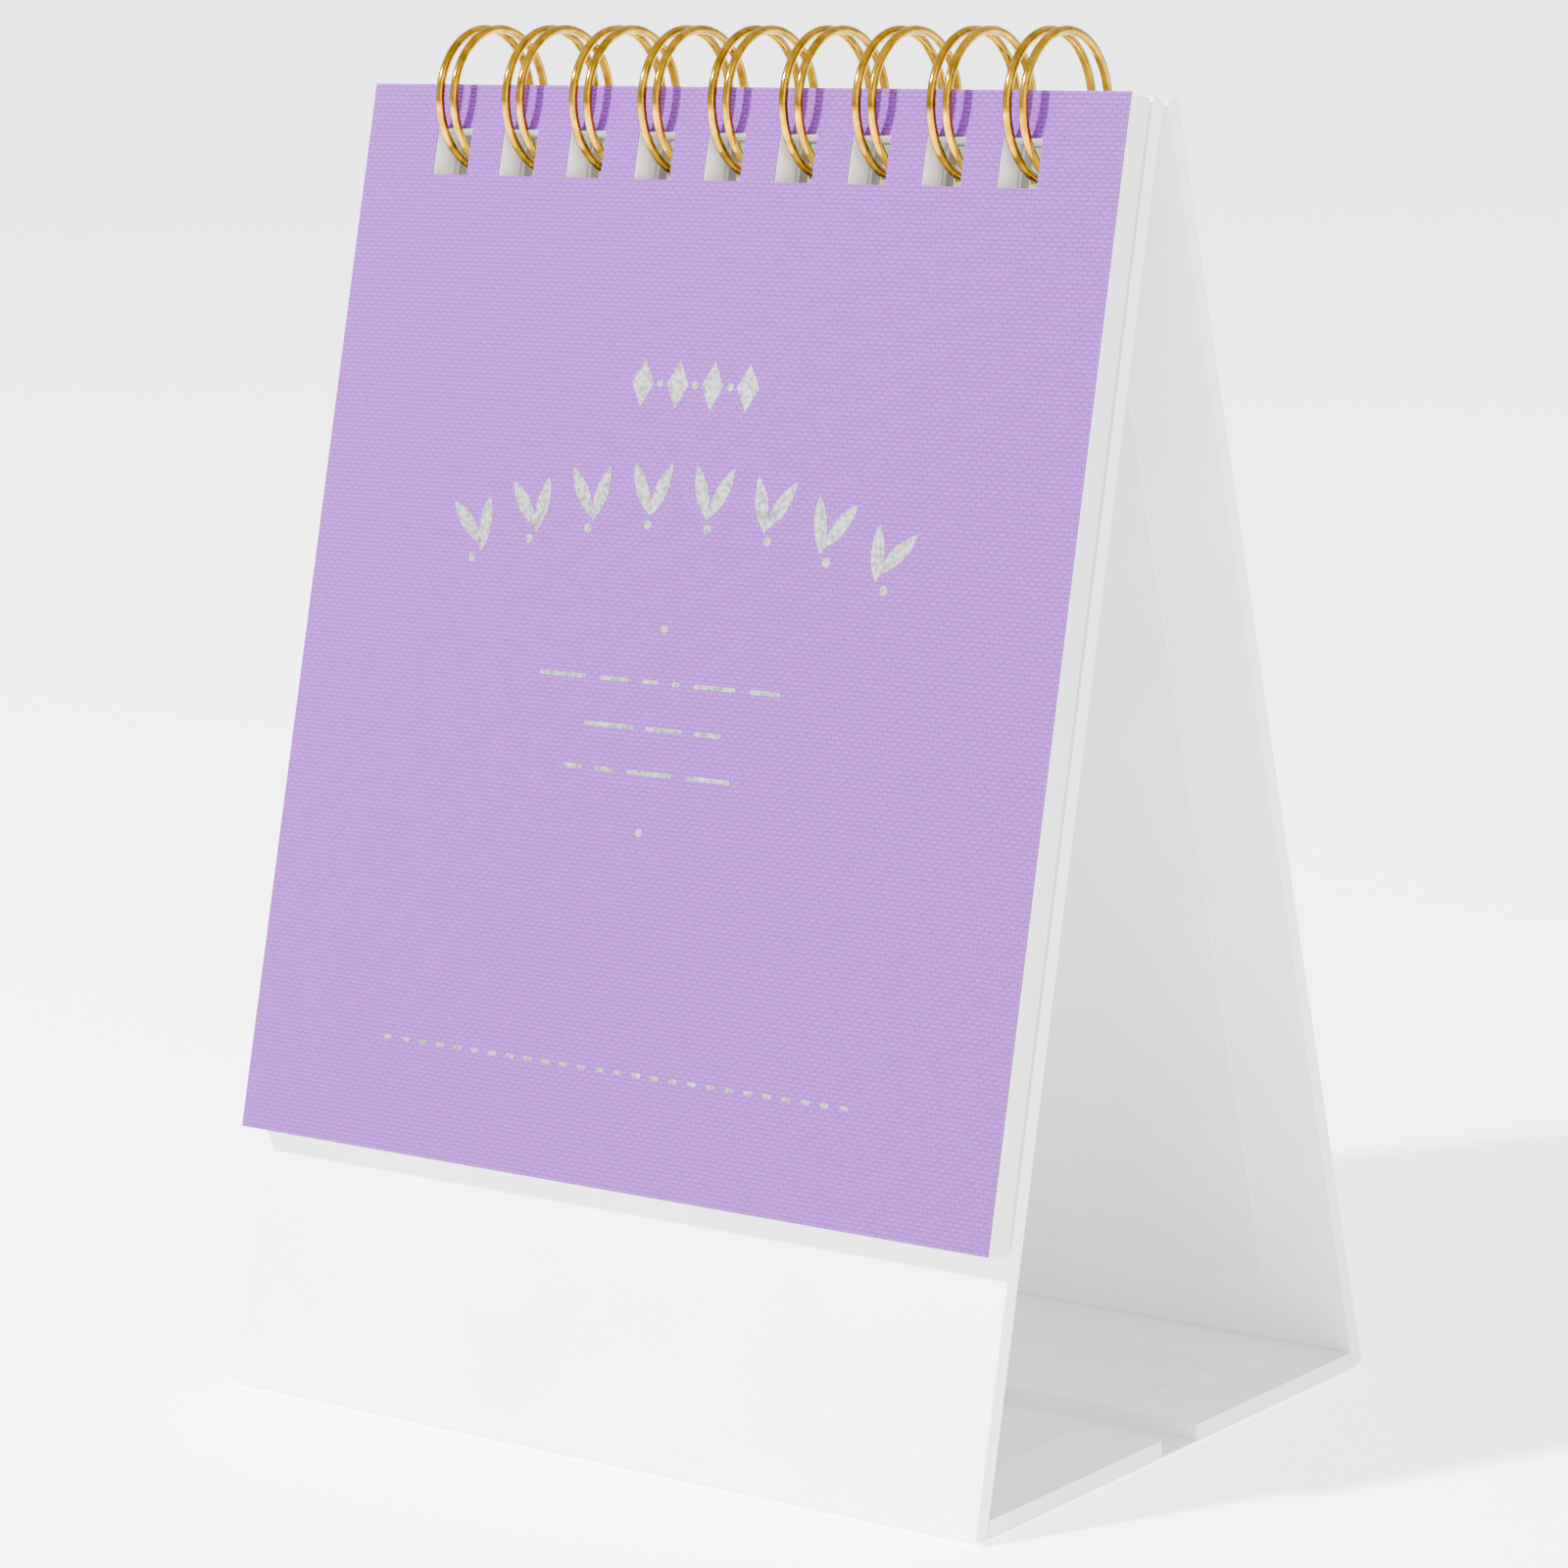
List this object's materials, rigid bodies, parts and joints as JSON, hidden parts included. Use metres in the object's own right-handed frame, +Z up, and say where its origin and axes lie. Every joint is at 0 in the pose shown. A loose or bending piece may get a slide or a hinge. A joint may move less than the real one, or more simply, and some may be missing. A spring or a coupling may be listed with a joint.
{
  "type": "flip desk calendar",
  "caption": "Folding card stand with a twin-loop wire that carries a flip cover and page leaves; the base creases inward to fold.",
  "frame": {"origin": "under the middle of the base, on the table", "axes": "+Z up, -Y towards the cover, +X along the width"},
  "size_m": [0.09, 0.0664, 0.1328],
  "materials": {
    "white_wrap": "smooth white wrap paper",
    "greyboard": "raw greyboard, sealed inside its wrap",
    "liner_paper": "smooth white liner paper",
    "leaf_paper": "uncoated white leaf paper",
    "white_card": "white card core",
    "lavender_linen": "lavender linen-embossed paper",
    "gold_wire": "gold-coloured steel binding wire"
  },
  "bodies": {
    "front_board": {"front_board_wrap": "white_wrap", "front_board_greyboard": "greyboard", "front_board_liner": "liner_paper", "top_hinge_strip": "white_wrap", "binding_wire": "gold_wire"},
    "rear_board": {"rear_board_wrap": "white_wrap", "rear_board_greyboard": "greyboard", "rear_board_liner": "liner_paper"},
    "base_front": {"base_front_wrap": "white_wrap", "base_front_greyboard": "greyboard", "base_front_liner": "liner_paper", "base_front_crease_paper": "white_wrap"},
    "base_rear": {"base_rear_wrap": "white_wrap", "base_rear_greyboard": "greyboard", "base_rear_liner": "liner_paper", "base_rear_crease_paper": "white_wrap"},
    "cover": {"cover_card": "white_card", "cover_cloth": "lavender_linen"},
    "leaf_01": {"leaf_01": "leaf_paper"},
    "leaf_02": {"leaf_02": "leaf_paper"},
    "leaf_03": {"leaf_03": "leaf_paper"},
    "leaf_04": {"leaf_04": "leaf_paper"},
    "leaf_05": {"leaf_05": "leaf_paper"},
    "leaf_06": {"leaf_06": "leaf_paper"},
    "leaf_07": {"leaf_07": "leaf_paper"},
    "leaf_08": {"leaf_08": "leaf_paper"},
    "leaf_09": {"leaf_09": "leaf_paper"},
    "leaf_10": {"leaf_10": "leaf_paper"},
    "leaf_11": {"leaf_11": "leaf_paper"},
    "leaf_12": {"leaf_12": "leaf_paper"}
  },
  "joints": [
    {"name": "stand_fold", "type": "hinge", "parent": "front_board", "child": "rear_board", "pos_m": [0, 0, 0.12611], "axis": [-1, 0, 0], "range_deg": [0, 14]},
    {"name": "base_front_fold", "type": "hinge", "parent": "front_board", "child": "base_front", "pos_m": [0, -0.031, 0.0017], "axis": [1, 0, 0], "range_deg": [0, 73.2], "deforming": ["base_front_crease_paper"]},
    {"name": "base_rear_fold", "type": "hinge", "parent": "rear_board", "child": "base_rear", "pos_m": [0, 0.031, 0.0017], "axis": [-1, 0, 0], "range_deg": [0, 73.2], "deforming": ["base_rear_crease_paper"]},
    {"name": "cover_flip", "type": "hinge", "parent": "front_board", "child": "cover", "pos_m": [0, -0.00081, 0.12553], "axis": [-1, 0, 0], "range_deg": [0, 190]},
    {"name": "leaf_01_flip", "type": "hinge", "parent": "front_board", "child": "leaf_01", "pos_m": [0, -0.00081, 0.12553], "axis": [-1, 0, 0], "range_deg": [0, 176.25]},
    {"name": "leaf_02_flip", "type": "hinge", "parent": "front_board", "child": "leaf_02", "pos_m": [0, -0.00081, 0.12553], "axis": [-1, 0, 0], "range_deg": [0, 162]},
    {"name": "leaf_03_flip", "type": "hinge", "parent": "front_board", "child": "leaf_03", "pos_m": [0, -0.00081, 0.12553], "axis": [-1, 0, 0], "range_deg": [0, 147.75]},
    {"name": "leaf_04_flip", "type": "hinge", "parent": "front_board", "child": "leaf_04", "pos_m": [0, -0.00081, 0.12553], "axis": [-1, 0, 0], "range_deg": [0, 133.5]},
    {"name": "leaf_05_flip", "type": "hinge", "parent": "front_board", "child": "leaf_05", "pos_m": [0, -0.00081, 0.12553], "axis": [-1, 0, 0], "range_deg": [0, 119.25]},
    {"name": "leaf_06_flip", "type": "hinge", "parent": "front_board", "child": "leaf_06", "pos_m": [0, -0.00081, 0.12553], "axis": [-1, 0, 0], "range_deg": [0, 105]},
    {"name": "leaf_07_flip", "type": "hinge", "parent": "front_board", "child": "leaf_07", "pos_m": [0, -0.00081, 0.12553], "axis": [-1, 0, 0], "range_deg": [0, 90.75]},
    {"name": "leaf_08_flip", "type": "hinge", "parent": "front_board", "child": "leaf_08", "pos_m": [0, -0.00081, 0.12553], "axis": [-1, 0, 0], "range_deg": [0, 76.5]},
    {"name": "leaf_09_flip", "type": "hinge", "parent": "front_board", "child": "leaf_09", "pos_m": [0, -0.00081, 0.12553], "axis": [-1, 0, 0], "range_deg": [0, 62.25]},
    {"name": "leaf_10_flip", "type": "hinge", "parent": "front_board", "child": "leaf_10", "pos_m": [0, -0.00081, 0.12553], "axis": [-1, 0, 0], "range_deg": [0, 48]},
    {"name": "leaf_11_flip", "type": "hinge", "parent": "front_board", "child": "leaf_11", "pos_m": [0, -0.00081, 0.12553], "axis": [-1, 0, 0], "range_deg": [0, 33.75]},
    {"name": "leaf_12_flip", "type": "hinge", "parent": "front_board", "child": "leaf_12", "pos_m": [0, -0.00081, 0.12553], "axis": [-1, 0, 0], "range_deg": [0, 19.5]}
  ],
  "couplings": [
    {"joint": "base_front_fold", "follows": "stand_fold", "ratio": 5.2143},
    {"joint": "base_rear_fold", "follows": "stand_fold", "ratio": 5.2143},
    {"joint": "leaf_01_flip", "follows": "cover_flip", "ratio": 0.925},
    {"joint": "leaf_02_flip", "follows": "cover_flip", "ratio": 0.85},
    {"joint": "leaf_03_flip", "follows": "cover_flip", "ratio": 0.775},
    {"joint": "leaf_04_flip", "follows": "cover_flip", "ratio": 0.7},
    {"joint": "leaf_05_flip", "follows": "cover_flip", "ratio": 0.625},
    {"joint": "leaf_06_flip", "follows": "cover_flip", "ratio": 0.55},
    {"joint": "leaf_07_flip", "follows": "cover_flip", "ratio": 0.475},
    {"joint": "leaf_08_flip", "follows": "cover_flip", "ratio": 0.4},
    {"joint": "leaf_09_flip", "follows": "cover_flip", "ratio": 0.325},
    {"joint": "leaf_10_flip", "follows": "cover_flip", "ratio": 0.25},
    {"joint": "leaf_11_flip", "follows": "cover_flip", "ratio": 0.175},
    {"joint": "leaf_12_flip", "follows": "cover_flip", "ratio": 0.1}
  ]
}
